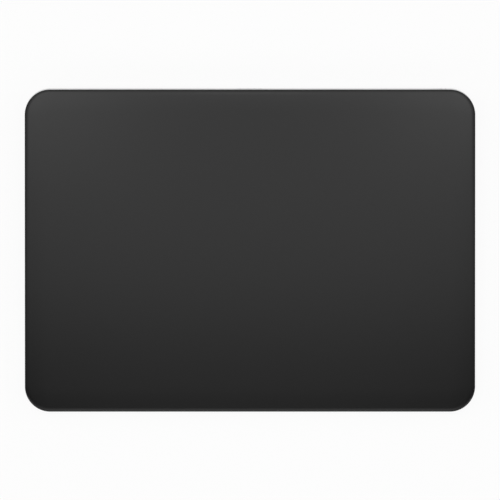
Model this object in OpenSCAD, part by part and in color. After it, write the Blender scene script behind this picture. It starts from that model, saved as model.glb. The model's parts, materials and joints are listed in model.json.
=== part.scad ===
// Wireless trackpad: a low wedge whose glass touch surface floats on four leaf springs inside a
// machined aluminium enclosure, with a battery, a logic board, a haptic actuator, a charging port
// and a sliding power switch. Millimetres, +Z up, +Y towards the rear edge, origin on the desk
// under the middle of the body.

/* [Overall] */
// Width of the touch surface
pad_w = 160; // [150:1:180]
// Depth of the touch surface, measured along its slope
pad_d = 114.6; // [110:0.2:130]
// Height of the front top edge above the desk
front_h = 4.9; // [4.8:0.1:6]
// Height of the rear top edge above the desk
rear_h = 11; // [10.4:0.1:13]
// Corner radius seen from above
corner_r = 9; // [8:0.5:12]

/* [Touch stack] */
// Thickness of the cover glass
glass_t = 1; // [0.8:0.05:1.15]
// Drop of the glass's rounded top edge
glass_edge = 0.5; // [0.2:0.05:0.6]
// Width of the band in which the top edge rounds off
glass_round = 1.8; // [0.6:0.1:2.5]
// Bevel on the glass's lower edge
glass_bevel = 0.12; // [0.05:0.01:0.2]
// Thickness of the adhesive film under the glass
film_t = 0.1; // [0.05:0.05:0.2]
// Thickness of the touch sensor board
sensor_t = 0.6; // [0.4:0.1:0.7]
// Thickness of the stiffener plate
stiffener_t = 0.5; // [0.4:0.1:0.6]
// Gap between the edge of the stack and the inner face of the walls
stack_gap = 0.6; // [0.4:0.1:1.2]
// Width of the touch controller chip
chip_w = 8; // [6:0.5:10]
// Thickness of the touch controller chip
chip_t = 0.7; // [0.5:0.1:1]
// Distance of the touch controller to the right of the middle
chip_x = 34; // [24:1:44]
// Distance of the touch controller behind the middle
chip_y = 22; // [10:1:26]
// Room round the chip and the sensor socket in the stiffener's windows
window_gap = 1.5; // [0.8:0.1:2.5]

/* [Enclosure] */
// Thickness of the walls
wall = 2; // [1.8:0.1:2.6]
// Thickness of the floor
floor_t = 0.7; // [0.5:0.1:0.8]
// Radius of the rounded bottom edge
base_r = 1.2; // [0.8:0.1:1.6]
// Open gap between the glass and the top of the walls
rim_gap = 0.4; // [0.35:0.05:0.6]

/* [Bottom] */
// Thickness of the bottom cover
cover_t = 0.8; // [0.6:0.1:0.9]
// Metal left between the rounded bottom edge and the cover
cover_margin = 1.6; // [1.2:0.1:2.5]
// Gap round the edge of the cover
cover_gap = 0.15; // [0.1:0.05:0.3]
// Bevel on the lower edge of the cover
cover_bevel = 0.2; // [0.1:0.05:0.4]
// Thickness of the adhesive frame above the cover
bond_t = 0.1; // [0.05:0.05:0.15]
// Width of the adhesive frame
bond_w = 4; // [2:0.5:6]
// Height that the feet stand below the cover
foot_h = 0.6; // [0.4:0.1:0.7]
// Depth of the recess that each foot is glued into
foot_sink = 0.3; // [0.2:0.05:0.4]
// Length of a foot
foot_l = 16; // [10:1:24]
// Width of a foot
foot_w = 5; // [4.5:0.5:8]
// Corner radius of a foot
foot_r = 2; // [1:0.25:2]
// Bevel on the lower edge of a foot
foot_bevel = 0.2; // [0.1:0.05:0.3]
// Distance from a foot to the side of the cover
foot_in_x = 9; // [6:1:16]
// Distance from a foot to the front or rear edge of the cover
foot_in_y = 7; // [5:1:14]

/* [Suspension] */
// Travel of the touch surface when it is pressed
press_travel = 0.25; // [0.15:0.05:0.3]
// Sideways travel of the touch surface to each side of rest
shake_travel = 0.12; // [0.05:0.01:0.2]
// Thickness of the gel pads
gel_t = 0.5; // [0.45:0.05:0.6]
// Margin of carrier tab left round a gel pad
gel_margin = 0.5; // [0.3:0.1:1]
// Thickness of the carrier tabs
tab_t = 0.25; // [0.2:0.05:0.35]
// Length of a carrier tab
tab_l = 8; // [6:0.5:8.5]
// Thickness of the leaf springs
leaf_t = 0.2; // [0.15:0.05:0.3]
// Length of a leaf spring
leaf_l = 22; // [21:1:28]
// Width of a leaf spring
leaf_w = 9; // [7:0.5:11]
// Radius of the notches where a leaf spring bends
notch_r = 1.2; // [0.6:0.1:1.5]
// Length of the seat that a leaf spring is screwed to
seat_l = 8; // [6:0.5:9]
// Depth of the leaf springs' screws in their seats
leaf_screw_l = 1; // [0.8:0.1:1.1]
// Distance from the front edge to the middle of the front springs
leaf_in_front = 17; // [16:1:24]
// Distance from the rear edge to the middle of the rear springs
leaf_in_rear = 20; // [19:1:26]
// Length of a strain gauge
gauge_l = 4; // [3:0.5:4.5]
// Width of a strain gauge
gauge_w = 4; // [3:0.5:5]
// Thickness of a strain gauge
gauge_t = 0.1; // [0.05:0.01:0.15]

/* [Haptic actuator] */
// Number of magnet poles
pole_n = 3; // [2:1:3]
// Distance between the middles of two poles
pole_pitch = 8.4; // [7.5:0.2:9]
// Width of a pole
pole_w = 3.2; // [2.5:0.1:4]
// Length of a pole
pole_l = 12; // [10:1:14]
// Width of the bar that joins the poles
yoke_w = 4; // [3.4:0.2:6]
// Length of each screw ear of the core
ear_l = 4; // [3:0.2:6]
// Side thickness of a coil
coil_side = 1.3; // [0.8:0.1:1.6]
// Top and bottom thickness of a coil
coil_cap = 0.5; // [0.3:0.05:0.6]
// Width of the armature bar
armature_w = 4; // [3:0.2:6]

/* [Battery] */
// Depth of the battery cell
battery_d = 26; // [20:0.5:28]
// Radius of the cell's long edges
battery_r = 1.2; // [0.5:0.1:1.5]
// Thickness of the tape under the cell
tape_t = 0.15; // [0.12:0.01:0.2]
// Width of a tape strip
tape_w = 30; // [15:1:36]
// Distance from the tape to the cell's front and rear edges
tape_in = 2; // [1:0.5:5]
// Width of the battery's protection board
guard_w = 5; // [4:0.5:7]
// Thickness of the battery's protection board
guard_t = 1; // [0.6:0.1:1.2]
// Distance that the protection board stops short of the cell's front edge
guard_short = 4; // [2:0.5:8]
// Width of the lane for the gauge leads beside the battery
lane_w = 2.6; // [2.2:0.1:4]

/* [Logic board] */
// Depth of the logic board
board_d = 9.6; // [9.2:0.2:10.4]
// Thickness of the logic board
board_t = 0.8; // [0.6:0.1:1]
// Height of the board's bosses above the floor
boss_h = 0.5; // [0.3:0.1:0.7]
// Diameter of the board's bosses
boss_d = 3.2; // [2.6:0.1:4]
// Width of board left beyond the power switch
board_lip = 0.8; // [0.5:0.1:1.5]
// Distance of the outer board screws from the ends of the board
board_screw_in = 17; // [15:0.5:18]

/* [Soldered parts] */
// Distance of the radio from the left end of the board
radio_in = 28; // [28:0.5:32]
// Width of the radio's shielding can
radio_w = 15; // [12:0.5:16]
// Depth of the radio's shielding can
radio_d = 7.4; // [6:0.2:8]
// Height of the radio's shielding can
radio_h = 1.5; // [1.2:0.1:2]
// Sheet thickness of the can
can_t = 0.2; // [0.1:0.05:0.3]
// Width of the radio chip under the can
radio_chip_w = 3.7; // [3:0.1:5]
// Thickness of the radio chip
radio_chip_t = 0.75; // [0.5:0.05:0.9]
// Distance of the main processor to the right of the middle
processor_x = 18; // [15:0.5:19]
// Width of the main processor
processor_w = 7; // [5:0.5:7.5]
// Thickness of the main processor
processor_t = 0.9; // [0.6:0.1:1.2]
// Distance of the charger chip to the left of the middle
charger_in = 15.5; // [15:0.5:17]
// Width of the charger chip
charger_w = 4; // [3:0.5:5]
// Thickness of the charger chip
charger_t = 0.8; // [0.6:0.1:1.2]
// Distance of the power inductor to the left of the middle
inductor_in = 23; // [22:0.5:28]
// Width of the power inductor
inductor_w = 4; // [3:0.5:5]
// Height of the power inductor
inductor_h = 1.4; // [1:0.1:2]
// Number of capacitors in the row
capacitor_n = 6; // [2:1:6]
// Distance of the capacitors to the right of the middle
capacitor_x = 25.5; // [23.5:0.5:27]
// Length of a capacitor
capacitor_l = 1; // [0.6:0.1:1.6]
// Width and height of a capacitor
capacitor_w = 0.5; // [0.3:0.1:0.8]
// Distance between two capacitors
capacitor_pitch = 1.4; // [1.1:0.1:1.6]
// Width of the antenna
antenna_w = 10; // [8:0.5:12]
// Depth of the antenna
antenna_d = 2.4; // [1.6:0.1:2.8]
// Height of the antenna above the board
antenna_h = 2; // [1.5:0.1:3]
// Sheet thickness of the antenna
antenna_t = 0.3; // [0.2:0.05:0.4]
// Distance between the antenna's two legs
antenna_leg = 3; // [2:0.5:6]
// Width of the opening in the floor under the antenna
window_w = 12; // [8:0.5:14]
// Depth of the opening in the floor under the antenna
window_d = 7; // [4:0.5:7.5]
// Corner radius of the opening in the floor
window_r = 1; // [0.5:0.25:1.5]

/* [Cables] */
// Width of the sensor cable
flex_w = 7; // [5:0.5:8]
// Thickness of the flat cables
flex_t = 0.15; // [0.1:0.05:0.25]
// Distance of the sensor cable to the right of the middle
flex_x = 34; // [33:1:40]
// Straight length of the sensor cable at each socket
flex_run = 0.6; // [0.4:0.1:1.5]
// Length of the battery cable that lies on the protection board
flex_lap = 3; // [2:0.5:5]
// Bare edge of the protection board beside the battery cable
flex_margin = 0.5; // [0.3:0.1:0.8]
// Depth of a cable socket
socket_d = 2.6; // [2.2:0.1:2.8]
// Height of a cable socket
socket_h = 0.9; // [0.7:0.1:1.2]
// Width of a socket past its cable on each side
socket_lip = 1; // [0.5:0.1:1.2]
// Distance from the board's front edge to the sockets
socket_in = 1; // [0.5:0.1:1.2]
// Thickness of the leads that lie on the floor
lead_t = 0.1; // [0.06:0.01:0.11]
// Length of the gauge leads under the board
lead_lap = 1; // [0.5:0.1:2]

/* [Charging port] */
// Width of the port's opening
port_w = 8.34; // [8:0.02:9]
// Height of the port's opening
port_h = 2.56; // [2.4:0.02:2.8]
// Thickness of the port's metal shell
shell_t = 0.3; // [0.2:0.05:0.4]
// Length of the port's shell
shell_l = 7.6; // [7:0.1:7.8]
// Depth of the mouth below the rear face
port_sink = 0.4; // [0.2:0.1:0.6]
// Width of the wall block round the port
surround_w = 16; // [13:0.5:20]
// Width of the contact tongue
tongue_w = 6.69; // [6.2:0.01:7]
// Thickness of the contact tongue
tongue_t = 0.7; // [0.6:0.05:0.8]
// Length of the contact tongue
tongue_l = 4.5; // [4:0.1:5]
// Depth of the moulded block behind the tongue
block_l = 1.4; // [1:0.1:1.8]
// Number of contacts on each face of the tongue
contact_n = 12; // [6:1:12]
// Distance between two contacts
contact_pitch = 0.5; // [0.4:0.05:0.5]
// Width of a contact
contact_w = 0.25; // [0.15:0.05:0.3]
// Thickness of a contact
contact_t = 0.06; // [0.04:0.01:0.1]
// Bare tip of the tongue in front of the contacts
contact_in = 1; // [0.5:0.1:1.5]
// Thickness of the strap over the port
strap_t = 0.4; // [0.3:0.05:0.6]
// Depth of the strap over the port
strap_d = 3.6; // [3:0.1:4.2]
// Length of each foot of the strap
strap_foot = 3.4; // [3:0.1:3.8]

/* [Power switch] */
// Length of the slot in the rear wall
slot_l = 4.8; // [4:0.1:5.6]
// Height of the slot
slot_h = 2.2; // [1.8:0.1:2.6]
// Distance from the slot to the start of the rounded corner
slot_in = 1.2; // [0.8:0.1:3]
// Depth of the slot's middle below the top surface
slot_drop = 5; // [5:0.1:6]
// Length of the slider's thumb nub
nub_l = 1; // [0.8:0.1:1.6]
// Length of the dark collar on each side of the nub
collar_l = 0.4; // [0.35:0.05:0.6]
// Corner radius of the collar
collar_r = 0.3; // [0.2:0.05:0.3]
// Depth of the nub's face below the rear face
nub_sink = 0; // [0:0.05:0.4]
// Thickness of the wall in front of the slider
skin_t = 1.2; // [1.1:0.05:1.3]
// Thickness of the slider's shutter plate
shutter_t = 0.7; // [0.5:0.05:0.8]
// Overlap of the shutter past the slot's ends and edges
shutter_lap = 0.5; // [0.3:0.1:0.6]
// Thickness of the coloured flag let into the shutter
flag_t = 0.15; // [0.1:0.05:0.25]
// Length of the fork that moves the switch
fork_l = 1.3; // [1:0.1:1.4]
// Thickness of each prong of the fork
prong_t = 0.7; // [0.5:0.1:1]
// Width of the switch's lever
lever_w = 1.2; // [1:0.1:1.6]
// Height of the switch's lever
lever_h = 0.9; // [0.7:0.1:1]
// Length of the lever inside the switch's case
lever_in = 1; // [0.8:0.1:1.5]
// Depth of the switch's case
switch_d = 3; // [2.5:0.1:3.5]
// Height of the switch's case
switch_h = 1.7; // [1.6:0.1:2]
// Thickness of the case beside the lever's slot
switch_wall = 1; // [0.6:0.1:1.4]

/* [Screws] */
// Diameter of the screws
screw_d = 1.2; // [1:0.1:1.4]
// Diameter of the screw heads
head_d = 2.2; // [2:0.1:2.5]
// Height of the screw heads
head_h = 0.35; // [0.3:0.05:0.4]
// Width across the corners of the driver recess
drive_d = 1.1; // [0.8:0.1:1.3]
// Depth of the driver recess
drive_h = 0.18; // [0.1:0.02:0.24]

/* [Clearances] */
// Between pieces of two moving bodies that bear on each other
body_gap = 0.02; // [0.01:0.01:0.04]
// Round a screw in its thread
thread_gap = 0.02; // [0.01:0.01:0.05]
// Round a screw in a plain hole
hole_gap = 0.12; // [0.05:0.01:0.2]
// Round the power slider and the switch's lever
slide_gap = 0.15; // [0.1:0.01:0.2]
// Between the collar and the slot's ends
end_gap = 0.15; // [0.1:0.05:0.4]
// Between neighbouring inner pieces
piece_gap = 0.3; // [0.2:0.05:0.4]
// Between the logic board, the battery and the actuator
row_gap = 1; // [0.6:0.1:1.5]
// Between a coil and its pole, and between the strap and the port
snug_gap = 0.05; // [0.03:0.01:0.1]
// Round the port's shell in the wall
port_gap = 0.12; // [0.08:0.01:0.2]
// Left above an inner piece when the surface is fully pressed
headroom = 0.3; // [0.2:0.05:0.4]
// Left under a leaf spring when the surface is fully pressed
leaf_room = 0.1; // [0.05:0.01:0.15]
// Left between the armature and the poles at the end of the sideways travel
pole_room = 0.23; // [0.15:0.01:0.4]

/* [Hidden] */
$fn = 64;

// Overshoot of a cutting shape
over = 1;

// Slope of the top and where its middle lies, so that the body is centred on the origin
slope = asin((rear_h - front_h) / pad_d);
mid_z = (front_h + rear_h) / 2;
mid_y = -(pad_d / 2 * (1 / cos(slope) - cos(slope)) + glass_edge * sin(slope)
    + (mid_z - foot_h - base_r) * tan(slope)) / 2;
tall = 2 * rear_h;

// Height, at a distance y behind the origin, of the plane that lies depth below the top surface
function under_z(depth, y) = mid_z + (y - mid_y) * tan(slope) - depth / cos(slope);
// Distance behind the origin, at height z, of the wall plane that lies out from the top's middle
function wall_y(out, z) = mid_y + out / cos(slope) - (z - mid_z) * tan(slope);
// Distance behind the origin of a point of the sloped frame
function base_y(y, z) = mid_y + y * cos(slope) - z * sin(slope);
// Place in the sloped frame of a point of the upright one
function slope_y(y, z) = (y - mid_y) * cos(slope) + (z - mid_z) * sin(slope);
function slope_z(y, z) = (z - mid_z) * cos(slope) - (y - mid_y) * sin(slope);

// Outlines of the enclosure, the stack and the bottom
in_w = pad_w - 2 * wall;
in_d = pad_d - 2 * wall;
in_r = corner_r - wall;
stack_w = in_w - 2 * stack_gap;
stack_d = in_d - 2 * stack_gap;
stack_r = in_r - stack_gap;
base_d = pad_d / cos(slope);
base_mid_y = wall_y(0, foot_h);
cover_in = base_r + cover_margin;
cover_w = pad_w - 2 * cover_in;
cover_d = base_d - 2 * cover_in;
cover_r = corner_r - cover_in;
floor_bottom = foot_h + cover_t + bond_t;
floor_top = floor_bottom + floor_t;

// Depths below the top surface
film_top = glass_t;
sensor_top = film_top + film_t;
stiffener_top = sensor_top + sensor_t;
stack_t = stiffener_top + stiffener_t;
gel_top = stack_t + body_gap;
tab_top = gel_top + gel_t;
leaf_top = tab_top + tab_t + body_gap;
leaf_bottom = leaf_top + leaf_t;
rim_top = glass_t + rim_gap;

// Leaf springs, with lengths measured from the inner face of the wall beside them
leaf_front_y = leaf_in_front - pad_d / 2;
leaf_rear_y = pad_d / 2 - leaf_in_rear;
leaf_end = leaf_l + piece_gap;
seat_w = leaf_w + 2 * piece_gap;
bend_mid = (seat_l + leaf_end - tab_l) / 2;

// Power slider, at rest with its nub at the right end of the slot
slot_x = pad_w / 2 - corner_r - slot_in - slot_l / 2;
grip_l = nub_l + 2 * collar_l;
slide_travel = slot_l - grip_l - 2 * end_gap;
nub_x = slot_x + slide_travel / 2;
nub_h = slot_h - 2 * slide_gap;
slot_r = collar_r + slide_gap;
shutter_y = pad_d / 2 - skin_t - slide_gap - shutter_t;
shutter_l = slot_l + slide_travel + 2 * shutter_lap;
shutter_h = slot_h + 2 * shutter_lap;
pocket_l = shutter_l + slide_travel + 2 * end_gap;
pocket_h = shutter_h + 2 * slide_gap;
switch_slot_l = lever_w + slide_travel + 2 * slide_gap;
switch_l = switch_slot_l + 2 * switch_wall;

// Logic board, along the rear wall
board_bottom = floor_top + boss_h;
board_top = board_bottom + board_t;
shell_w = port_w + 2 * shell_t;
shell_h = port_h + 2 * shell_t;
strap_h = shell_h + snug_gap + strap_t;
board_rear = wall_y(in_d / 2, board_top + strap_h) - piece_gap;
board_front = board_rear - board_d;
board_mid_y = (board_front + board_rear) / 2;
board_left = -(in_w / 2 - seat_l);
board_right = slot_x + switch_l / 2 + board_lip;
socket_front = board_front + socket_in;
radio_x = board_left + radio_in;

// Charging port, standing on the board
port_z = board_top + shell_h / 2;
port_mouth = wall_y(pad_d / 2, port_z) - port_sink;
port_back = port_mouth - shell_l;
strap_w = shell_w + 2 * (snug_gap + strap_t);
strap_front = port_back + piece_gap;
strap_screw_x = strap_w / 2 + strap_foot / 2;
port_screw_y = strap_front + strap_d / 2;

// Switch on the board behind the slider
switch_mid_z = board_top + switch_h / 2;
switch_rear = wall_y(shutter_y, switch_mid_z) - fork_l - slide_gap;
lever_z = slope_z(wall_y(shutter_y, switch_mid_z), switch_mid_z);
fork_low = lever_z - lever_h / 2;
fork_high = max(lever_z + lever_h / 2, prong_t - slot_drop - shutter_h / 2);

// Battery in front of the board, as thick as the room under the pressed surface allows
battery_rear = board_front - row_gap;
battery_front = battery_rear - battery_d;
battery_end = in_w / 2 - seat_l - lane_w;
battery_left = -battery_end + guard_w + piece_gap;
battery_bottom = floor_top + tape_t;
battery_room = min(under_z(stack_t, battery_front),
    under_z(leaf_bottom, base_y(leaf_rear_y - leaf_w / 2, -leaf_bottom))) - press_travel - headroom;
battery_step = 0.1; // cells come in whole steps of thickness
battery_t = floor((battery_room - battery_bottom) / battery_step) * battery_step;
battery_top = battery_bottom + battery_t;
battery_mid_x = (battery_left + battery_end) / 2;
tape_x = (battery_end - battery_left) / 4;
guard_mid_x = -battery_end + guard_w / 2;
guard_top = board_top + (socket_h - flex_t) / 2;
battery_flex_w = guard_w - 2 * flex_margin;

// Haptic actuator in front of the battery, as thick as the room under the pressed surface allows
pole_gap = shake_travel + pole_room;
coil_w = pole_w + 2 * (coil_side + snug_gap);
coil_l = pole_l - 2 * piece_gap;
pole_span = (pole_n - 1) * pole_pitch + coil_w;
core_len = pole_span + 2 * ear_l;
core_rear = battery_front - row_gap;
core_front = core_rear - core_len;
core_mid = (core_front + core_rear) / 2;
core_t = under_z(stack_t, core_front) - press_travel - headroom - floor_top;
core_x = -(yoke_w + pole_l + pole_gap + armature_w) / 2;
pole_x = core_x + yoke_w;
yoke_mid_x = core_x + yoke_w / 2;
armature_x = pole_x + pole_l + pole_gap;
ear_t = core_t - head_h - body_gap;
pole_t = core_t - 2 * (coil_cap + snug_gap);
armature_y = slope_y(core_mid, floor_top + core_t / 2);
armature_t = (under_z(stack_t, core_mid - pole_span / 2) - floor_top - press_travel - headroom) * cos(slope);
armature_screw_y = (pole_span - armature_w) / 2;

// Sensor cable, folded between the socket under the sensor board and the one on the logic board
flex_y = socket_front + socket_d;
flex_top_z = under_z(stiffener_top + socket_h / 2, flex_y);
flex_low_z = board_top + socket_h / 2;
flex_r = (flex_top_z - flex_low_z) / 2;
sensor_socket_y = slope_y(flex_y, flex_top_z) - socket_d / 2;

// Shared shapes

// Carries a shape from the sloped frame, whose origin is the middle of the top surface
module on_slope() {
    translate([0, mid_y, mid_z]) rotate([slope, 0, 0]) children();
}

// Rectangle with round corners
module outline(w, d, r) {
    square([w - 2 * r, d], center = true);
    square([w, d - 2 * r], center = true);
    for (x = [-1, 1], y = [-1, 1])
        translate([x * (w / 2 - r), y * (d / 2 - r)]) circle(r);
}

// Rectangle with half-round ends
module stadium(w, h) {
    square([w - h, h], center = true);
    for (x = [-1, 1])
        translate([x * (w - h) / 2, 0]) circle(h / 2);
}

// Plate with round corners whose edge follows a profile of [distance from the corner's middle, height]
module edged_plate(w, d, r, profile) {
    low = min([for (p = profile) p[1]]);
    high = max([for (p = profile) p[1]]);
    translate([r - w / 2, r - d / 2, low]) cube([w - 2 * r, d - 2 * r, high - low]);
    for (turn = [0:3]) {
        long = turn % 2 == 0 ? w - 2 * r : d - 2 * r;
        out = turn % 2 == 0 ? d / 2 - r : w / 2 - r;
        rotate(90 * turn) {
            translate([-long / 2, -out, 0]) rotate([90, 0, 90]) linear_extrude(long)
                mirror([1, 0]) polygon(profile);
            translate([long / 2, -out, 0]) rotate(-90) rotate_extrude(angle = 90) polygon(profile);
        }
    }
}

// Extrudes an X, Z outline along Y from one distance to another
module along_y(from, to) {
    translate([0, to, 0]) rotate([90, 0, 0]) linear_extrude(to - from) children();
}

// Extrudes a Y, Z outline along X from one distance to another
module along_x(from, to) {
    translate([from, 0, 0]) rotate([90, 0, 90]) linear_extrude(to - from) children();
}

// Block from one corner to the opposite one
module block(low, high) {
    translate(low) cube(high - low);
}

// Screw with its head's underside at height 0 and a hexagonal driver recess
module screw(length) {
    difference() {
        union() {
            cylinder(d = head_d, h = head_h);
            translate([0, 0, -length]) cylinder(d = screw_d, h = length);
        }
        translate([0, 0, head_h - drive_h]) cylinder(d = drive_d, h = drive_h + over, $fn = 6);
    }
}

// Hole for a screw with the given gap round it, from a depth below height 0 to past it
module screw_hole(gap, depth) {
    translate([0, 0, -depth]) cylinder(r = screw_d / 2 + gap, h = depth + over);
}

// Repeats a shape at each leaf spring, with X running inwards from the wall as negative values
module at_springs() {
    on_slope() for (x = [-1, 1], y = [leaf_front_y, leaf_rear_y])
        translate([x * in_w / 2, y, 0]) rotate(x > 0 ? 0 : 180) children();
}

module at_feet() {
    for (x = [-1, 1], y = [-1, 1])
        translate([x * (cover_w / 2 - foot_in_x - foot_l / 2),
            base_mid_y + y * (cover_d / 2 - foot_in_y - foot_w / 2), 0]) children();
}

module at_board_screws() {
    for (x = [board_left + board_screw_in, board_right - board_screw_in])
        translate([x, board_mid_y, 0]) children();
}

module at_port_screws() {
    for (x = [-1, 1])
        translate([x * strap_screw_x, port_screw_y, 0]) children();
}

module at_core_screws() {
    for (y = [-1, 1])
        translate([yoke_mid_x, core_mid + y * (core_len - ear_l) / 2, 0]) children();
}

module at_armature_screws() {
    for (y = [-1, 1])
        translate([armature_x + armature_w / 2, armature_y + y * armature_screw_y, 0]) children();
}

// Enclosure and bottom

// Upright body with a rounded bottom edge, which spreads past the sloped walls above the rounding.
// Its corners are a little tighter than the walls', so that no two of their seams meet in one point.
module base_form() {
    last_angle = -10;
    spread = 2;
    ease = 0.1;
    round_r = corner_r - ease;
    arc = [for (a = [-90:16:last_angle])
        [round_r - base_r + base_r * cos(a), base_r + base_r * sin(a)]];
    end = arc[len(arc) - 1];
    wide = end[0] + spread;
    profile = concat([[0, 0]], arc, [[wide, end[1] + spread / tan(-last_angle)], [wide, tall], [0, tall]]);
    translate([0, base_mid_y, foot_h]) edged_plate(pad_w, base_d, round_r, profile);
}

// Prism square to the top surface, from a depth below it down past the desk
module sloped_prism(w, d, r, top) {
    on_slope() translate([0, 0, -tall]) linear_extrude(tall - top) outline(w, d, r);
}

module body_form() {
    intersection() {
        sloped_prism(pad_w, pad_d, corner_r, rim_top);
        base_form();
    }
}

module spring_seats() {
    at_springs() block([-seat_l, -seat_w / 2, -tall], [over, seat_w / 2, -leaf_bottom]);
}

// Room in the floor for the free length of a low leaf spring
module spring_room() {
    at_springs() {
        block([-leaf_end - piece_gap, -seat_w / 2, -leaf_bottom - press_travel - leaf_room],
            [-seat_l, seat_w / 2, -leaf_top]);
        block([-leaf_end, -seat_w / 2, -leaf_bottom], [-piece_gap / 2, seat_w / 2, -leaf_top]);
    }
}

module boss() {
    translate([0, 0, floor_bottom]) cylinder(d = boss_d, h = board_bottom - floor_bottom);
}

module board_bosses() {
    at_board_screws() boss();
    at_port_screws() boss();
}

module slider_pocket() {
    pocket_low = min(fork_low - slide_gap, -slot_drop - pocket_h / 2);
    on_slope() translate([slot_x, 0, 0]) {
        block([-pocket_l / 2, in_d / 2 - in_r, pocket_low],
            [pocket_l / 2, pad_d / 2 - skin_t, pocket_h / 2 - slot_drop]);
        translate([0, 0, -slot_drop]) along_y(in_d / 2, pad_d / 2 + over) outline(slot_l, slot_h, slot_r);
    }
}

module port_hole() {
    translate([0, 0, port_z]) along_y(port_back, port_mouth + port_sink + over)
        stadium(shell_w + 2 * port_gap, shell_h + 2 * port_gap);
}

// Room in the rear wall for the block round the port
module surround_room() {
    block([-surround_w / 2, wall_y(in_d / 2, rear_h), floor_top], [surround_w / 2, pad_d, tall]);
}

module antenna_window() {
    translate([board_left + window_w / 2, board_rear - window_d / 2, floor_bottom - over])
        linear_extrude(floor_t + 2 * over) outline(window_w, window_d, window_r);
}

module enclosure() {
    color("silver") difference() {
        body_form();
        difference() {
            intersection() {
                sloped_prism(in_w, in_d, in_r, 0);
                block([-pad_w, -pad_d, floor_top], [pad_w, pad_d, tall]);
            }
            spring_seats();
            board_bosses();
        }
        spring_room();
        translate([0, base_mid_y, foot_h - over]) linear_extrude(over + cover_t + bond_t)
            outline(cover_w + 2 * cover_gap, cover_d + 2 * cover_gap, cover_r + cover_gap);
        slider_pocket();
        surround_room();
        antenna_window();
        at_springs() translate([-seat_l / 2, 0, -leaf_bottom]) screw_hole(thread_gap, leaf_screw_l);
        at_board_screws() translate([0, 0, board_bottom]) screw_hole(thread_gap, boss_h + floor_t);
        at_port_screws() translate([0, 0, board_bottom]) screw_hole(thread_gap, boss_h + floor_t);
        at_core_screws() translate([0, 0, floor_top]) screw_hole(thread_gap, floor_t + over);
    }
}

// Block of the rear wall that the port opens through, let in flush between the enclosure's faces
module port_surround() {
    color("silver") difference() {
        intersection() {
            body_form();
            surround_room();
        }
        sloped_prism(in_w, in_d, in_r, 0);
        port_hole();
    }
}

module bottom_cover() {
    profile = [[0, 0], [cover_r - cover_bevel, 0], [cover_r, cover_bevel], [cover_r, cover_t], [0, cover_t]];
    color("gainsboro") difference() {
        translate([0, base_mid_y, foot_h]) edged_plate(cover_w, cover_d, cover_r, profile);
        at_feet() translate([0, 0, foot_h - over]) linear_extrude(over + foot_sink)
            outline(foot_l + 2 * body_gap, foot_w + 2 * body_gap, foot_r + body_gap);
    }
}

module cover_bond() {
    least_r = 1;
    color("black") translate([0, base_mid_y, foot_h + cover_t]) linear_extrude(bond_t) difference() {
        outline(cover_w, cover_d, cover_r);
        outline(cover_w - 2 * bond_w, cover_d - 2 * bond_w, max(cover_r - bond_w, least_r));
    }
}

module feet() {
    top = foot_h + foot_sink;
    profile = [[0, 0], [foot_r - foot_bevel, 0], [foot_r, foot_bevel], [foot_r, top], [0, top]];
    color("dimgray") at_feet() edged_plate(foot_l, foot_w, foot_r, profile);
}

// Battery

module battery_cell() {
    color("black") along_x(battery_left, battery_end)
        translate([(battery_front + battery_rear) / 2, (battery_bottom + battery_top) / 2])
            outline(battery_d, battery_t, battery_r);
}

module battery_tape() {
    color("white") for (x = [-1, 1])
        translate([battery_mid_x + x * tape_x, 0, 0])
            block([-tape_w / 2, battery_front + tape_in, floor_top],
                [tape_w / 2, battery_rear - tape_in, battery_bottom]);
}

module battery_guard() {
    color("darkgreen") block([-battery_end, battery_front + guard_short, guard_top - guard_t],
        [-battery_end + guard_w, battery_rear, guard_top]);
}

module battery_flex() {
    color("orange") translate([guard_mid_x, 0, 0])
        block([-battery_flex_w / 2, battery_rear - flex_lap, guard_top],
            [battery_flex_w / 2, socket_front, guard_top + flex_t]);
}

// Logic board

module logic_board() {
    color("darkgreen") difference() {
        block([board_left, board_front, board_bottom], [board_right, board_rear, board_top]);
        at_board_screws() translate([0, 0, board_top]) screw_hole(hole_gap, board_t + over);
        at_port_screws() translate([0, 0, board_top]) screw_hole(hole_gap, board_t + over);
    }
}

module board_screws() {
    color("gray") at_board_screws() translate([0, 0, board_top])
        screw(board_t + boss_h + floor_t - body_gap);
}

// Rectangular part on the middle line of the logic board
module board_part(x, w, d, h) {
    translate([x - w / 2, board_mid_y - d / 2, board_top]) cube([w, d, h]);
}

module radio_can() {
    color("silver") difference() {
        board_part(radio_x, radio_w, radio_d, radio_h);
        translate([0, 0, -can_t]) board_part(radio_x, radio_w - 2 * can_t, radio_d - 2 * can_t, radio_h);
    }
}

module radio_chip() {
    color("black") board_part(radio_x, radio_chip_w, radio_chip_w, radio_chip_t);
}

module main_processor() {
    color("black") board_part(processor_x, processor_w, processor_w, processor_t);
}

module charger_chip() {
    color("black") board_part(-charger_in, charger_w, charger_w, charger_t);
}

module power_inductor() {
    color("dimgray") board_part(-inductor_in, inductor_w, inductor_w, inductor_h);
}

module capacitors() {
    color("tan") for (i = [0:capacitor_n - 1])
        translate([0, (i - (capacitor_n - 1) / 2) * capacitor_pitch, 0])
            board_part(capacitor_x, capacitor_l, capacitor_w, capacitor_w);
}

// Sheet held above the board's rear corner on two legs
module antenna() {
    rear = board_rear - piece_gap;
    left = board_left + piece_gap;
    last_leg = left + antenna_w - antenna_t;
    color("gold") {
        block([left, rear - antenna_d, board_top + antenna_h - antenna_t],
            [left + antenna_w, rear, board_top + antenna_h]);
        for (x = [last_leg, last_leg - antenna_leg])
            block([x, rear - antenna_t, board_top], [x + antenna_t, rear, board_top + antenna_h]);
    }
}

module board_socket(x, cable_w) {
    half = cable_w / 2 + socket_lip;
    block([x - half, socket_front, board_top], [x + half, socket_front + socket_d, board_top + socket_h]);
}

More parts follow.
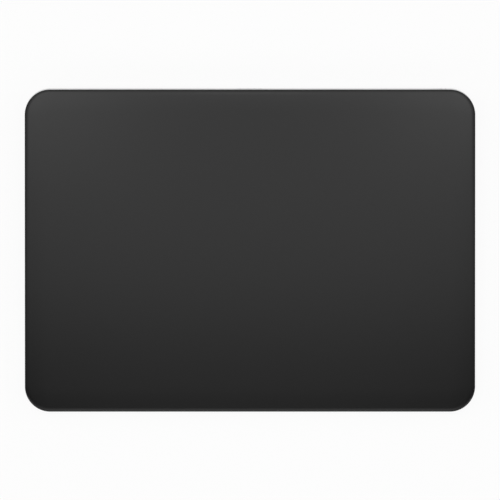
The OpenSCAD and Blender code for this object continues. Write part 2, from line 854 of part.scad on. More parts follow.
module board_sockets() {
    color("ivory") {
        board_socket(flex_x, flex_w);
        board_socket(guard_mid_x, battery_flex_w);
        board_socket(yoke_mid_x, yoke_w);
    }
}

// Charging port

module port_shell() {
    color("silver") translate([0, 0, port_z]) along_y(port_back, port_mouth) difference() {
        stadium(shell_w, shell_h);
        stadium(port_w, port_h);
    }
}

module port_tongue() {
    color("black") translate([0, port_back, port_z]) {
        along_y(0, block_l) stadium(port_w - 2 * body_gap, port_h - 2 * body_gap);
        along_y(0, block_l + tongue_l) square([tongue_w, tongue_t], center = true);
    }
}

module port_contacts() {
    first = -(contact_n - 1) / 2 * contact_pitch;
    color("gold") translate([0, port_back + block_l, port_z])
        for (i = [0:contact_n - 1], low = [tongue_t / 2, -tongue_t / 2 - contact_t])
            translate([first + i * contact_pitch - contact_w / 2, 0, low])
                cube([contact_w, tongue_l - contact_in, contact_t]);
}

module port_strap() {
    inner = strap_w / 2 - strap_t;
    color("silver") difference() {
        translate([0, 0, board_top]) along_y(strap_front, strap_front + strap_d) difference() {
            union() {
                translate([-strap_w / 2, 0]) square([strap_w, strap_h]);
                translate([-strap_w / 2 - strap_foot, 0]) square([strap_w + 2 * strap_foot, strap_t]);
            }
            translate([-inner, -over]) square([2 * inner, strap_h - strap_t + over]);
        }
        at_port_screws() translate([0, 0, board_top + strap_t]) screw_hole(hole_gap, strap_t + over);
    }
}

module port_screws() {
    color("gray") at_port_screws() translate([0, 0, board_top + strap_t])
        screw(strap_t + board_t + boss_h + floor_t - body_gap);
}

// Power switch

module switch_case() {
    slot_depth = lever_in + slide_gap;
    color("black") translate([slot_x, switch_rear, switch_mid_z]) difference() {
        along_y(-switch_d, 0) square([switch_l, switch_h], center = true);
        along_y(-slot_depth, over) square([switch_slot_l, lever_h + 2 * slide_gap], center = true);
    }
}

module switch_lever() {
    color("white") translate([nub_x, switch_rear, switch_mid_z])
        along_y(-lever_in, fork_l - slide_gap) square([lever_w, lever_h], center = true);
}

// Thumb nub, the shutter plate that keeps the slot closed, and the fork that moves the switch's lever
module power_slider() {
    color("silver") on_slope() difference() {
        translate([nub_x, 0, 0]) {
            translate([0, 0, -slot_drop]) {
                along_y(shutter_y, shutter_y + shutter_t) square([shutter_l, shutter_h], center = true);
                along_y(shutter_y, pad_d / 2 - nub_sink) square([nub_l, nub_h], center = true);
            }
            for (x = [-1, 1])
                translate([x * (lever_w / 2 + slide_gap + prong_t / 2), 0, 0])
                    block([-prong_t / 2, shutter_y - fork_l, fork_low],
                        [prong_t / 2, shutter_y + shutter_t / 2, fork_high]);
        }
        flag_form(0, over);
    }
}

// Two dark blocks on the shutter, one on each side of the nub
module slider_collar() {
    color("black") on_slope() translate([nub_x, 0, -slot_drop])
        along_y(shutter_y + shutter_t, pad_d / 2 - nub_sink) difference() {
            outline(grip_l, nub_h, collar_r);
            square([nub_l, 2 * nub_h], center = true);
        }
}

// Flag on the part of the shutter that shows beside the collar when the switch is on
module flag_form(gap, rise) {
    left = nub_x + grip_l / 2;
    face = shutter_y + shutter_t;
    block([left + gap, face - flag_t, gap - slot_drop - slot_h / 2],
        [left + slide_travel + end_gap - gap, face + rise, slot_h / 2 - slot_drop - gap]);
}

module on_flag() {
    color("limegreen") on_slope() flag_form(body_gap, 0);
}

// Suspension

module leaf_springs() {
    color("lightsteelblue") at_springs() difference() {
        block([-leaf_end, -leaf_w / 2, -leaf_bottom], [-piece_gap, leaf_w / 2, -leaf_top]);
        for (y = [-1, 1])
            translate([-bend_mid, y * leaf_w / 2, -leaf_bottom - over])
                cylinder(r = notch_r, h = leaf_t + 2 * over);
        translate([-seat_l / 2, 0, -leaf_top]) screw_hole(hole_gap, leaf_t + over);
    }
}

module leaf_screws() {
    color("gray") at_springs() translate([-seat_l / 2, 0, -leaf_top])
        screw(leaf_t + leaf_screw_l - body_gap);
}

module strain_gauges() {
    color("orange") at_springs() translate([-bend_mid, 0, -leaf_top])
        linear_extrude(gauge_t) square([gauge_l, gauge_w], center = true);
}

// Leads on the floor beside the battery, with a tail that rises to the underside of the board
module gauge_leads() {
    middle = in_w / 2 - seat_l - lane_w / 2;
    half = lane_w / 2 - piece_gap;
    front = base_y(leaf_front_y, -leaf_bottom);
    rear = board_front + lead_lap;
    color("orange") for (x = [-1, 1]) translate([x * middle, 0, 0]) {
        block([-half, front, floor_top], [half, rear, floor_top + lead_t]);
        block([-half, rear - lead_t, floor_top], [half, rear, board_bottom]);
    }
}

module carrier_tabs() {
    color("lightsteelblue") at_springs()
        block([-leaf_end, -leaf_w / 2, -tab_top - tab_t], [tab_l - leaf_end, leaf_w / 2, -tab_top]);
}

module gel_pads() {
    color("lightblue") at_springs() block([gel_margin - leaf_end, gel_margin - leaf_w / 2, -tab_top],
        [tab_l - leaf_end - gel_margin, leaf_w / 2 - gel_margin, -gel_top]);
}

// Haptic actuator

module at_poles() {
    first = -(pole_n - 1) / 2;
    translate([pole_x, core_mid, floor_top + core_t / 2]) for (i = [0:pole_n - 1])
        translate([0, (first + i) * pole_pitch, 0]) children();
}

module haptic_core() {
    color("dimgray") difference() {
        union() {
            block([core_x, core_front + ear_l, floor_top], [pole_x, core_rear - ear_l, floor_top + core_t]);
            block([core_x, core_front, floor_top], [pole_x, core_rear, floor_top + ear_t]);
            at_poles() block([-yoke_w / 2, -pole_w / 2, -pole_t / 2], [pole_l, pole_w / 2, pole_t / 2]);
        }
        at_core_screws() translate([0, 0, floor_top + ear_t]) screw_hole(hole_gap, ear_t + over);
    }
}

module haptic_coils() {
    color("peru") at_poles() along_x(piece_gap, piece_gap + coil_l) difference() {
        square([coil_w, core_t], center = true);
        square([pole_w + 2 * snug_gap, pole_t + 2 * snug_gap], center = true);
    }
}

module core_screws() {
    color("gray") at_core_screws() translate([0, 0, floor_top + ear_t]) screw(ear_t + floor_t - body_gap);
}

// Lead that runs under the battery and rises in front of the board to its socket
module haptic_lead() {
    rise_y = board_front - row_gap / 2;
    end_z = board_top + socket_h / 2;
    color("orange") along_x(core_x, pole_x) {
        translate([core_rear + body_gap, floor_top]) square([rise_y - core_rear, lead_t]);
        translate([rise_y, floor_top]) square([lead_t, end_z - floor_top]);
        translate([rise_y, end_z - lead_t]) square([socket_front - rise_y, lead_t]);
    }
}

module haptic_armature() {
    color("dimgray") on_slope() difference() {
        translate([armature_x, armature_y, -stack_t])
            block([0, -pole_span / 2, -armature_t], [armature_w, pole_span / 2, 0]);
        at_armature_screws() translate([0, 0, -stack_t]) {
            screw_hole(hole_gap, armature_t + over);
            translate([0, 0, -armature_t - over]) cylinder(r = head_d / 2 + hole_gap, h = over + head_h);
        }
    }
}

module armature_screws() {
    color("gray") on_slope() at_armature_screws() translate([0, 0, head_h - armature_t - stack_t])
        mirror([0, 0, 1]) screw(armature_t - head_h + stiffener_t - body_gap);
}

// Touch stack

module cover_glass() {
    steps = 10;
    arc = [for (i = [0:steps])
        [corner_r - glass_round * (1 - cos(90 * i / steps)), -glass_edge * (1 - sin(90 * i / steps))]];
    profile = concat([[0, -glass_t], [corner_r - glass_bevel, -glass_t], [corner_r, glass_bevel - glass_t]],
        arc, [[0, 0]]);
    color([0.11, 0.11, 0.115]) on_slope() edged_plate(pad_w, pad_d, corner_r, profile);
}

// Layer of the stack between two depths below the top surface, with the children's outlines cut out
module layer(top, bottom) {
    on_slope() translate([0, 0, -bottom]) linear_extrude(bottom - top) difference() {
        outline(stack_w, stack_d, stack_r);
        children();
    }
}

module glass_film() {
    color("whitesmoke") layer(film_top, sensor_top);
}

module sensor_board() {
    color("darkgreen") layer(sensor_top, stiffener_top);
}

module touch_chip() {
    color("black") on_slope() translate([chip_x, chip_y, -stiffener_top - chip_t])
        linear_extrude(chip_t) square(chip_w, center = true);
}

module sensor_socket() {
    color("ivory") on_slope() translate([flex_x, sensor_socket_y, -stiffener_top - socket_h])
        linear_extrude(socket_h) square([flex_w + 2 * socket_lip, socket_d], center = true);
}

// Plate with windows for the chip and for the sensor socket with its cable's fold
module stiffener() {
    fold_room = flex_run + flex_r + flex_t;
    socket_window = [flex_w + 2 * (socket_lip + window_gap), socket_d + 2 * window_gap + fold_room];
    color("silver") layer(stiffener_top, stack_t) {
        translate([chip_x, chip_y]) square(chip_w + 2 * window_gap, center = true);
        translate([flex_x, sensor_socket_y + fold_room / 2]) square(socket_window, center = true);
        at_armature_screws() circle(screw_d / 2 + thread_gap);
    }
}

// Flat cable folded in a half circle from the upper socket to the lower one
module sensor_flex() {
    color("orange") along_x(flex_x - flex_w / 2, flex_x + flex_w / 2) {
        translate([flex_y + flex_run, flex_low_z + flex_r]) difference() {
            circle(flex_r + flex_t / 2);
            circle(flex_r - flex_t / 2);
            translate([-2 * flex_r, -2 * flex_r]) square([2 * flex_r, 4 * flex_r]);
        }
        for (z = [flex_low_z, flex_top_z])
            translate([flex_y + body_gap, z - flex_t / 2]) square([flex_run - body_gap, flex_t]);
    }
}

enclosure();
port_surround();
bottom_cover();
cover_bond();
feet();
battery_cell();
battery_tape();
battery_guard();
battery_flex();
logic_board();
board_screws();
radio_can();
radio_chip();
main_processor();
charger_chip();
power_inductor();
capacitors();
antenna();
board_sockets();
port_shell();
port_tongue();
port_contacts();
port_strap();
port_screws();
switch_case();
leaf_springs();
leaf_screws();
strain_gauges();
gauge_leads();
haptic_core();
haptic_coils();
core_screws();
haptic_lead();
sensor_flex();
carrier_tabs();
gel_pads();
cover_glass();
glass_film();
sensor_board();
touch_chip();
sensor_socket();
stiffener();
haptic_armature();
armature_screws();
power_slider();
slider_collar();
on_flag();
switch_lever();
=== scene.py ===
"""Looks of the wireless trackpad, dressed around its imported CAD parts. +Y points to the rear edge.

Sizes of the object and its materials are in millimetres, the studio's floor and lamps in metres.
"""
import json
import math

import bmesh
import bpy
from mathutils import Matrix, Vector


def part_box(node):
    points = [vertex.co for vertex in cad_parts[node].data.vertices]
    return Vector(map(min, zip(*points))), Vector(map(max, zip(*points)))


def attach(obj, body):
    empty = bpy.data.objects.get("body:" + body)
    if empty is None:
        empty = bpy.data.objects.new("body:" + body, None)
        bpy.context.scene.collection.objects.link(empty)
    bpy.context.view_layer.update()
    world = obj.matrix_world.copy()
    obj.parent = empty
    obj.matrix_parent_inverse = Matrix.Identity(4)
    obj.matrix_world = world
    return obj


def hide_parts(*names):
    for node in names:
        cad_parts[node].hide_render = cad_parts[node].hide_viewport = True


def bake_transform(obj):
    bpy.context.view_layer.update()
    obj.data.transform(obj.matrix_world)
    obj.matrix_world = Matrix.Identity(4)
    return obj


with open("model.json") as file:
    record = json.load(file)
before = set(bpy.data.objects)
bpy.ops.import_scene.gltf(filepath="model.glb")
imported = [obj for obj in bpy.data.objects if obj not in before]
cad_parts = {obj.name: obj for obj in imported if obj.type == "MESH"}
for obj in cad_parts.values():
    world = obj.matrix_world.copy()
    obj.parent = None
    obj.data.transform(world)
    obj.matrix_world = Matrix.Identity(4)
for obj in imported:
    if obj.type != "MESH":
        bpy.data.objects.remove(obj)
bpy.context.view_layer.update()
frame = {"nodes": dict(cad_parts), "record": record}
nodes = frame["nodes"]
glass_low, glass_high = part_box("cover_glass")
scene = bpy.context.scene
scene.view_settings.view_transform = "Standard"

MM = 0.001

# Sizes of the glass, as in the CAD model
PAD_W = 160.0
PAD_D = 114.6
FRONT_H = 4.9
REAR_H = 11.0
CORNER_R = 9.0
GLASS_T = 1.0
EDGE_DROP = 0.5
GLASS_BEVEL = 0.12

# The glass's top falls away gently before its round edge
ROLL_WIDTH = 8.0
ROLL_DROP = 0.175
EDGE_ROUND = 1.6

# Power slider, as in the CAD model: its depth below the top, and its nub, which rises from a shutter
SLOT_DROP = 5.0
NUB_L = 1.0
NUB_H = 1.9
NUB_RISE = 1.35

# Black block on each side of the nub, a painted shade for the shaded gap there: the lip under its slanted
# face, and that face's depth and rise
SHADE_BLOCK_LIP = 0.1
SHADE_BLOCK_RAMP = 1.1

# Slope of the top, and the place of its middle
SLOPE = math.asin((REAR_H - FRONT_H) / PAD_D)
SLOPE_MID_Y = glass_low.y / MM + PAD_D / 2 * math.cos(SLOPE) - EDGE_DROP * math.sin(SLOPE)
MID_Z = (FRONT_H + REAR_H) / 2


def add_object(name, data):
    """New object of a mesh, a lamp or a camera, linked into the scene."""
    obj = bpy.data.objects.new(name, data)
    scene.collection.objects.link(obj)
    return obj


# Camera

# Width of the picture at the object, and the aim's place behind the middle of the glass
PHOTO_WIDTH = 177.6
TARGET_Y = 0.24
REAR_TILT = math.radians(0.25)
LENS = 1200.0
SENSOR = 36.0
CLIP_NEAR = 100.0
CLIP_FAR = 20000.0


def make_camera():
    """Camera nearly straight above, leaning a little to the rear."""
    data = bpy.data.cameras.new("camera")
    data.lens = LENS
    data.sensor_width = SENSOR
    data.dof.use_dof = False
    data.clip_start = CLIP_NEAR * MM
    data.clip_end = CLIP_FAR * MM
    distance = PHOTO_WIDTH * MM * LENS / SENSOR
    target = Vector((0.0, (glass_low.y + glass_high.y) / 2 + TARGET_Y * MM, MID_Z * MM))
    back = Vector((0.0, math.sin(REAR_TILT), math.cos(REAR_TILT)))
    up = Vector((0.0, math.cos(REAR_TILT), -math.sin(REAR_TILT)))
    turn = Matrix((up.cross(back), up, back)).transposed().to_4x4()
    scene.camera = add_object("camera", data)
    scene.camera.matrix_world = Matrix.Translation(target + back * distance) @ turn


make_camera()


# Materials

# Part of a noise's range that most of its values fall in
NOISE_LOW = 0.3
NOISE_HIGH = 0.7
# Scale of the wave texture at which a band is about one unit wide
BAND_SCALE = 0.3
# Size of the clouds in a grained surface's colour, in grains
CLOUD_SIZE = 40.0

LOOKS = {}


def shaded(color, factor):
    return tuple(min(1.0, c * factor) for c in color)


class Surface:
    """Node material of a slot, on one Principled shader, textured by the object's own coordinates."""

    def __init__(self, slot, color, roughness, metallic=0.0, **sockets):
        LOOKS[slot] = bpy.data.materials.new(slot)
        LOOKS[slot].use_nodes = True
        self.tree = LOOKS[slot].node_tree
        self.shader = self.tree.nodes["Principled BSDF"]
        self.shader.inputs["Base Color"].default_value = (*color, 1.0)
        self.shader.inputs["Roughness"].default_value = roughness
        self.shader.inputs["Metallic"].default_value = metallic
        for socket, value in sockets.items():
            self.shader.inputs[socket.replace("_", " ")].default_value = value
        self.coords = self.add("ShaderNodeTexCoord").outputs["Object"]

    def add(self, kind, **settings):
        node = self.tree.nodes.new(kind)
        for key, value in settings.items():
            setattr(node, key, value)
        return node

    def link(self, source, target):
        self.tree.links.new(source, target)

    def in_units(self, size, stretch=(1.0, 1.0, 1.0)):
        """Coordinates in units of a size, which is larger along an axis where stretch is over 1."""
        mapping = self.add("ShaderNodeMapping")
        mapping.inputs["Scale"].default_value = [1.0 / (s * size * MM) for s in stretch]
        self.link(self.coords, mapping.inputs["Vector"])
        return mapping.outputs["Vector"]

    def noise(self, size, detail=2.0, stretch=(1.0, 1.0, 1.0)):
        """Noise whose features are about that size, drawn out along an axis where stretch is over 1."""
        node = self.add("ShaderNodeTexNoise")
        node.inputs["Scale"].default_value = 1.0
        node.inputs["Detail"].default_value = detail
        self.link(self.in_units(size, stretch), node.inputs["Vector"])
        return node.outputs["Fac"]

    def bands(self, width, axis):
        """Wave that repeats about every width along an axis."""
        node = self.add("ShaderNodeTexWave", wave_type="BANDS", bands_direction=axis)
        node.inputs["Scale"].default_value = BAND_SCALE
        self.link(self.in_units(width), node.inputs["Vector"])
        return node.outputs["Fac"]

    def tones(self, value, color, low, high, start=NOISE_LOW, end=NOISE_HIGH):
        """Base colour from low times a colour, where value is start, to high times it at end."""
        node = self.add("ShaderNodeValToRGB")
        for element, place, factor in zip(node.color_ramp.elements, (start, end), (low, high)):
            element.position = place
            element.color = (*shaded(color, factor), 1.0)
        self.link(value, node.inputs["Fac"])
        self.link(node.outputs["Color"], self.shader.inputs["Base Color"])

    def gloss(self, value, low, high, start=NOISE_LOW, end=NOISE_HIGH):
        """Roughness from low, where value is start, to high at end."""
        node = self.add("ShaderNodeMapRange")
        node.inputs["From Min"].default_value = start
        node.inputs["From Max"].default_value = end
        node.inputs["To Min"].default_value = low
        node.inputs["To Max"].default_value = high
        self.link(value, node.inputs["Value"])
        self.link(node.outputs["Result"], self.shader.inputs["Roughness"])

    def bump(self, height, depth):
        node = self.add("ShaderNodeBump")
        node.inputs["Distance"].default_value = depth * MM
        self.link(height, node.inputs["Height"])
        self.link(node.outputs["Normal"], self.shader.inputs["Normal"])


def grained(slot, color, roughness, grain, vary, rough_vary=0.05, relief=0.0, metallic=0.0, **sockets):
    """Surface with a fine grain in its gloss and its relief, and with faint clouds in its colour."""
    surface = Surface(slot, color, roughness, metallic, **sockets)
    fine = surface.noise(grain, detail=3.0)
    clouds = surface.noise(grain * CLOUD_SIZE)
    surface.tones(clouds, color, 1.0 - vary, 1.0 + vary)
    surface.gloss(fine, roughness - rough_vary, roughness + rough_vary)
    if relief:
        surface.bump(fine, relief)


def banded(slot, color, roughness, width, axis, contrast, metallic):
    """Surface of parallel wires or sheets, glossier on their crests."""
    surface = Surface(slot, color, roughness, metallic)
    lines = surface.bands(width, axis)
    # Paler on the crests and darker between the wires or sheets: a painted highlight and painted shade that
    # follow the relief
    surface.tones(lines, color, 1.0 - contrast, 1.0 + contrast, start=0.2, end=0.8)
    surface.gloss(lines, roughness + 0.1, roughness - 0.05, start=0.0, end=1.0)
    surface.bump(lines, depth=width * 0.3)


def brushed(slot, color, roughness, grain, stretch):
    """Rolled or turned metal with lines along one direction."""
    surface = Surface(slot, color, roughness, metallic=1.0)
    lines = surface.noise(grain, detail=3.0, stretch=stretch)
    surface.tones(lines, color, 0.93, 1.05)
    surface.gloss(lines, roughness - 0.06, roughness + 0.08)
    surface.bump(lines, depth=grain * 0.05)


def dark_glass():
    """Finely etched glass over a black coat."""
    color = (0.003, 0.003, 0.003)
    surface = Surface("dark_glass", color, roughness=0.22, IOR=1.45)
    surface.tones(surface.noise(22.0), color, 0.97, 1.03)
    surface.gloss(surface.noise(0.12), 0.21, 0.23)


def circuit_board():
    """Green solder mask over traces that show as paler lines."""
    mask = (0.012, 0.075, 0.03)
    trace_pitch = 2.4
    surface = Surface("circuit_board", mask, roughness=0.35)
    bricks = surface.add("ShaderNodeTexBrick")
    bricks.inputs["Scale"].default_value = 1.0
    bricks.inputs["Mortar Size"].default_value = 0.05
    for socket, factor in (("Color1", 1.0), ("Color2", 0.85), ("Mortar", 1.9)):
        bricks.inputs[socket].default_value = (*shaded(mask, factor), 1.0)
    surface.link(surface.in_units(trace_pitch), bricks.inputs["Vector"])
    surface.link(bricks.outputs["Color"], surface.shader.inputs["Base Color"])
    surface.gloss(surface.noise(0.3), 0.3, 0.42)


# Each takes its slot, colour and roughness first
grained("anodised_aluminium", (0.65, 0.655, 0.66), 0.42, grain=0.14, vary=0.01, relief=0.006, metallic=1.0)
grained("cover_plastic", (0.74, 0.75, 0.76), 0.48, grain=0.25, vary=0.012, relief=0.008)
grained("black_plastic", (0.02, 0.02, 0.021), 0.5, grain=0.12, vary=0.1, rough_vary=0.06, relief=0.006)
grained("foot_rubber", (0.42, 0.43, 0.44), 0.72, grain=0.2, vary=0.04, rough_vary=0.06, relief=0.02)
grained("cell_wrap", (0.03, 0.03, 0.033), 0.38, grain=0.6, vary=0.08, relief=0.01)
grained("white_tape", (0.82, 0.82, 0.8), 0.6, grain=0.4, vary=0.03, relief=0.01)
circuit_board()
grained("amber_film", (0.55, 0.22, 0.03), 0.25, grain=0.8, vary=0.06, rough_vary=0.06)
brushed("screw_steel", (0.32, 0.32, 0.33), 0.36, grain=0.08, stretch=(1.0, 1.0, 3.0))
brushed("sheet_steel", (0.6, 0.6, 0.61), 0.34, grain=0.06, stretch=(12.0, 1.0, 1.0))
grained("chip_resin", (0.018, 0.018, 0.02), 0.55, grain=0.08, vary=0.1, rough_vary=0.06, relief=0.006)
banded("soft_iron", (0.13, 0.13, 0.14), 0.45, width=0.35, axis="Z", contrast=0.2, metallic=0.9)
grained("ceramic", (0.42, 0.28, 0.15), 0.5, grain=0.1, vary=0.08, relief=0.004)
grained("gold_plate", (0.83, 0.6, 0.22), 0.28, grain=0.05, vary=0.03, metallic=1.0)
grained("ivory_plastic", (0.78, 0.74, 0.6), 0.5, grain=0.15, vary=0.03, relief=0.006)
banded("copper_wire", (0.55, 0.2, 0.07), 0.32, width=0.16, axis="X", contrast=0.3, metallic=0.9)
grained("clear_gel", (0.5, 0.62, 0.68), 0.3, grain=0.5, vary=0.05, Transmission_Weight=0.4)
dark_glass()
grained("green_plastic", (0.04, 0.45, 0.07), 0.35, grain=0.15, vary=0.04, relief=0.004)

slot_of = {row["node"]: row["material_slot"] for row in frame["record"]["subparts"]}
for node, slot in slot_of.items():
    nodes[node].data.materials.clear()
    nodes[node].data.materials.append(LOOKS[slot])


# Smooth shading of the CAD parts' curved faces

SHARP_ANGLE = math.radians(28.0)
MERGE_GAP = 0.001


def shading_group():
    """Joins the faces' shared corners and keeps only edges over the sharp angle hard."""
    group = bpy.data.node_groups.new("edge_shading", "GeometryNodeTree")
    for way in ("INPUT", "OUTPUT"):
        group.interface.new_socket("Geometry", in_out=way, socket_type="NodeSocketGeometry")
    add = group.nodes.new
    start = add("NodeGroupInput")
    merge = add("GeometryNodeMergeByDistance")
    merge.inputs["Distance"].default_value = MERGE_GAP * MM
    faces = add("GeometryNodeSetShadeSmooth")
    angle = add("GeometryNodeInputMeshEdgeAngle")
    hard = add("FunctionNodeCompare")
    hard.data_type = "FLOAT"
    hard.operation = "GREATER_THAN"
    hard.inputs["B"].default_value = SHARP_ANGLE
    edges = add("GeometryNodeSetShadeSmooth")
    edges.domain = "EDGE"
    edges.inputs["Shade Smooth"].default_value = False
    end = add("NodeGroupOutput")
    for source, target in (
        (start.outputs["Geometry"], merge.inputs["Geometry"]),
        (merge.outputs["Geometry"], faces.inputs["Geometry"]),
        (faces.outputs["Geometry"], edges.inputs["Geometry"]),
        (angle.outputs["Unsigned Angle"], hard.inputs["A"]),
        (hard.outputs["Result"], edges.inputs["Selection"]),
        (edges.outputs["Geometry"], end.inputs["Geometry"]),
    ):
        group.links.new(source, target)
    return group


edge_shading = shading_group()


def shade(objects, weighted=True):
    """Smooth shading with hard edges, where weighted normals also keep large faces flat."""
    for obj in objects:
        if "custom_normal" in obj.data.attributes:
            obj.data.attributes.remove(obj.data.attributes["custom_normal"])
        modifier = obj.modifiers.new("edge_shading", "NODES")
        modifier.node_group = edge_shading
        if weighted:
            normals = obj.modifiers.new("flat_faces", "WEIGHTED_NORMAL")
            normals.keep_sharp = True


shade(nodes.values())


# Shapes on the slope


def rounded_outline(w, d, r, steps):
    """Points of a rectangle with round corners, anticlockwise."""
    points = []
    for turn, (x, y) in enumerate(((1, -1), (1, 1), (-1, 1), (-1, -1))):
        for i in range(steps + 1):
            a = math.radians(90.0 * (turn - 1) + 90.0 * i / steps)
            points.append((x * (w / 2 - r) + r * math.cos(a), y * (d / 2 - r) + r * math.sin(a)))
    return points


def on_slope(x, y, z):
    """Point of the sloped frame, in millimetres, carried into the object's frame in metres."""
    return Vector((
        x,
        SLOPE_MID_Y + y * math.cos(SLOPE) - z * math.sin(SLOPE),
        MID_Z + y * math.sin(SLOPE) + z * math.cos(SLOPE),
    )) * MM


def loft(name, *shells):
    """Mesh of closed shells, each through rings of equally many points, with its two ends filled."""
    vertices = []
    faces = []
    for rings in shells:
        count = len(rings[0])
        starts = [len(vertices) + k * count for k in range(len(rings))]
        vertices += [p for ring in rings for p in ring]
        faces.append(tuple(starts[0] + i for i in reversed(range(count))))
        for a, b in zip(starts, starts[1:]):
            for i in range(count):
                j = (i + 1) % count
                faces.append((a + i, a + j, b + j, b + i))
        faces.append(tuple(starts[-1] + i for i in range(count)))
    mesh = bpy.data.meshes.new(name)
    mesh.from_pydata(vertices, [], faces)
    return add_object(name, mesh)


# Cover glass

CORNER_STEPS = 32
EDGE_STEPS = 20
ROLL_STEPS = 12
# Flat border of the underside beside its bevel
BEVEL_BORDER = 0.06


def cover_glass():
    """Glass with a bevel below, a round edge, and a top that falls away before that edge."""

    def roll(inset):
        return ROLL_DROP * (1 - inset / ROLL_WIDTH) ** 2

    sections = [
        (GLASS_BEVEL + BEVEL_BORDER, -GLASS_T),
        (GLASS_BEVEL, -GLASS_T),
        (0.0, GLASS_BEVEL - GLASS_T),
    ]
    for i in range(EDGE_STEPS + 1):
        a = math.radians(90.0 * i / EDGE_STEPS)
        inset = EDGE_ROUND * (1 - math.cos(a))
        sections.append((inset, (ROLL_DROP - EDGE_DROP) * (1 - math.sin(a)) - roll(inset)))
    for i in range(1, ROLL_STEPS + 1):
        inset = EDGE_ROUND + (ROLL_WIDTH - EDGE_ROUND) * i / ROLL_STEPS
        sections.append((inset, -roll(inset)))
    rings = []
    for inset, z in sections:
        outline = rounded_outline(PAD_W - 2 * inset, PAD_D - 2 * inset, CORNER_R - inset, CORNER_STEPS)
        rings.append([on_slope(x, y, z) for x, y in outline])
    return loft("glass", rings)


glass = cover_glass()
glass.data.materials.append(LOOKS["dark_glass"])
shade([glass], weighted=False)
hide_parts("cover_glass")
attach(glass, "touch_plate")


# Black blocks beside the power slider's nub, a painted shade for the shaded gaps there


def nub_shade_blocks():
    """Two black blocks beside the nub, a painted shade for its shaded gaps, each with a face that slants
    inwards and upwards from its lip.
    """
    low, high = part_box("slider_collar")
    middle = (low.x + high.x) / 2 / MM
    face = PAD_D / 2
    ramp_end = face - SHADE_BLOCK_RAMP
    shutter = face - NUB_RISE
    bottom = -SLOT_DROP - NUB_H / 2
    lip = bottom + SHADE_BLOCK_LIP
    top = bottom + NUB_H
    side_view = (
        (shutter, bottom), (face, bottom), (face, lip),
        (ramp_end, lip + SHADE_BLOCK_RAMP), (ramp_end, top), (shutter, top),
    )
    spans = ((low.x / MM, middle - NUB_L / 2), (middle + NUB_L / 2, high.x / MM))
    shells = [[[on_slope(x, y, z) for y, z in side_view] for x in span] for span in spans]
    return loft("nub_shade_blocks", *shells)


black_shade_blocks = nub_shade_blocks()
# The black here is painted shade, standing in for the shadow in the gaps beside the nub
black_shade_blocks.data.materials.append(LOOKS["black_plastic"])
shade([black_shade_blocks])
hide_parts("slider_collar")
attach(black_shade_blocks, "power_switch")


# Springs, gauges and cable, cut finely where they bend as the surface is pressed

BEND_STEPS = 16
# Length of a leaf spring on its seat, and of the cable's flat ends upwards
SEAT_LAP = 7.7
CABLE_LAP = 0.2


def bending_piece(name, node, start, end, side=0):
    """Copy of a node, or of its left or right half, cut finely where it bends from base to carriers."""
    shape = bmesh.new()
    shape.from_mesh(nodes[node].data)
    bmesh.ops.delete(shape, geom=[v for v in shape.verts if v.co.x * side < 0], context="VERTS")
    for i in range(BEND_STEPS + 1):
        whole = shape.verts[:] + shape.edges[:] + shape.faces[:]
        place = start.lerp(end, i / BEND_STEPS)
        bmesh.ops.bisect_plane(shape, geom=whole, plane_co=place, plane_no=(end - start).normalized())
    mesh = bpy.data.meshes.new(name)
    shape.to_mesh(mesh)
    shape.free()
    mesh.materials.append(LOOKS[slot_of[node]])
    piece = add_object(name, mesh)
    shade([piece])
    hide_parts(node)
    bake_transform(piece)


seat_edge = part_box("leaf_springs")[1].x - SEAT_LAP * MM
tab_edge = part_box("carrier_tabs")[1].x
for word, side in (("left", -1), ("right", 1)):
    seat = Vector((side * seat_edge, 0, 0))
    tab = Vector((side * tab_edge, 0, 0))
    for node in ("leaf_springs", "strain_gauges"):
        bending_piece(f"{node}_{word}", node, seat, tab, side)
cable_low, cable_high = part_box("sensor_flex")
cable_foot = Vector((0, 0, cable_low.z + CABLE_LAP * MM))
cable_head = Vector((0, 0, cable_high.z - CABLE_LAP * MM))
bending_piece("sensor_cable", "sensor_flex", cable_foot, cable_head)


# Floor

FLOOR_HALF = 6.0
FLOOR_DROP = 0.00002
FLOOR_PAINT = (0.94, 0.94, 0.94)
# Share of the floor's look that is plain white, so that the rest keeps a faint shadow
FLOOR_GLOW = 0.9


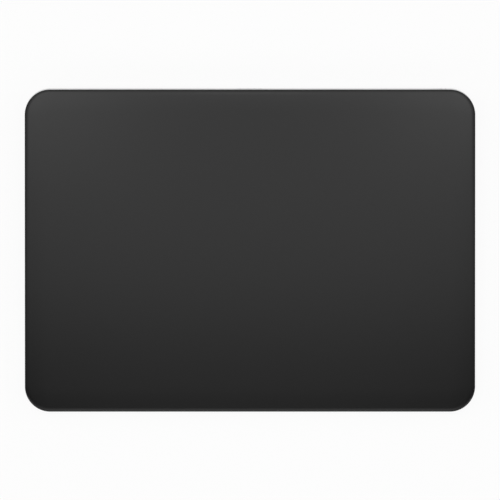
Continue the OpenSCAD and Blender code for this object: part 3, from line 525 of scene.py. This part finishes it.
def floor_white():
    """Pale paint that mostly glows white where the camera, gloss or a clear material shows it."""
    material = bpy.data.materials.new("floor_white")
    material.use_nodes = True
    tree = material.node_tree
    tree.nodes.clear()
    add = tree.nodes.new
    path = add("ShaderNodeLightPath")
    shown = path.outputs["Is Camera Ray"]
    for ray in ("Is Glossy Ray", "Is Transmission Ray"):
        either = add("ShaderNodeMath")
        either.operation = "MAXIMUM"
        tree.links.new(shown, either.inputs[0])
        tree.links.new(path.outputs[ray], either.inputs[1])
        shown = either.outputs[0]
    share = add("ShaderNodeMath")
    share.operation = "MULTIPLY"
    share.inputs[1].default_value = FLOOR_GLOW
    paint = add("ShaderNodeBsdfDiffuse")
    paint.inputs["Color"].default_value = (*FLOOR_PAINT, 1.0)
    glow = add("ShaderNodeEmission")
    glow.inputs["Strength"].default_value = 1.0
    mix = add("ShaderNodeMixShader")
    output = add("ShaderNodeOutputMaterial")
    for source, target in (
        (shown, share.inputs[0]),
        (share.outputs[0], mix.inputs["Fac"]),
        (paint.outputs["BSDF"], mix.inputs[1]),
        (glow.outputs["Emission"], mix.inputs[2]),
        (mix.outputs["Shader"], output.inputs["Surface"]),
    ):
        tree.links.new(source, target)
    return material


def make_floor():
    signs = ((-1, -1), (1, -1), (1, 1), (-1, 1))
    corners = [(x * FLOOR_HALF, y * FLOOR_HALF, -FLOOR_DROP) for x, y in signs]
    mesh = bpy.data.meshes.new("floor")
    mesh.from_pydata(corners, [], [(0, 1, 2, 3)])
    mesh.materials.append(floor_white())
    floor = add_object("floor", mesh)


make_floor()


# Light

WORLD_LEVEL = 0.15


def make_world():
    """Dim white light from all round."""
    world = bpy.data.worlds.new("studio")
    world.use_nodes = True
    back = world.node_tree.nodes["Background"]
    back.inputs["Color"].default_value = (1.0, 1.0, 1.0, 1.0)
    back.inputs["Strength"].default_value = WORLD_LEVEL
    scene.world = world


def make_lamp(name, place, size, radiance, target=None):
    """Rectangular soft box that glows evenly, towards a target or straight down."""
    data = bpy.data.lights.new(name, "AREA")
    data.shape = "RECTANGLE"
    data.size, data.size_y = size
    data.energy = radiance * math.pi * size[0] * size[1]
    lamp = add_object(name, data)
    lamp.location = place
    lamp.rotation_mode = "QUATERNION"
    below = (place[0], place[1], 0.0)
    lamp.rotation_quaternion = (Vector(target or below) - Vector(place)).to_track_quat("-Z", "Y")
    lamp.visible_camera = False


make_world()
# Lamps that overlap hang at slightly different heights
make_lamp("rear_panel", place=(0.0, 0.265, 0.42), size=(0.58, 0.68), radiance=0.8)
make_lamp("front_panel", place=(0.0, -0.555, 0.42), size=(0.31, 0.71), radiance=0.94)
make_lamp("top_panel", place=(0.0, -0.085, 0.419), size=(0.165, 0.195), radiance=0.23)
make_lamp("top_spot", place=(0.0, 0.08, 0.418), size=(0.05, 0.05), radiance=2.15)
for side in (-1.0, 1.0):
    make_lamp("top_box", place=(side * 0.105, 0.075, 0.417), size=(0.1, 0.15), radiance=1.25)
    make_lamp("front_box", place=(side * 0.39, -0.39, 0.42), size=(0.3, 0.3), radiance=1.6)
    make_lamp(
        "side_box", place=(side * 0.87, 0.1, 0.47), size=(2.0, 0.52), radiance=1.25, target=(0.0, 0.0, 0.0))
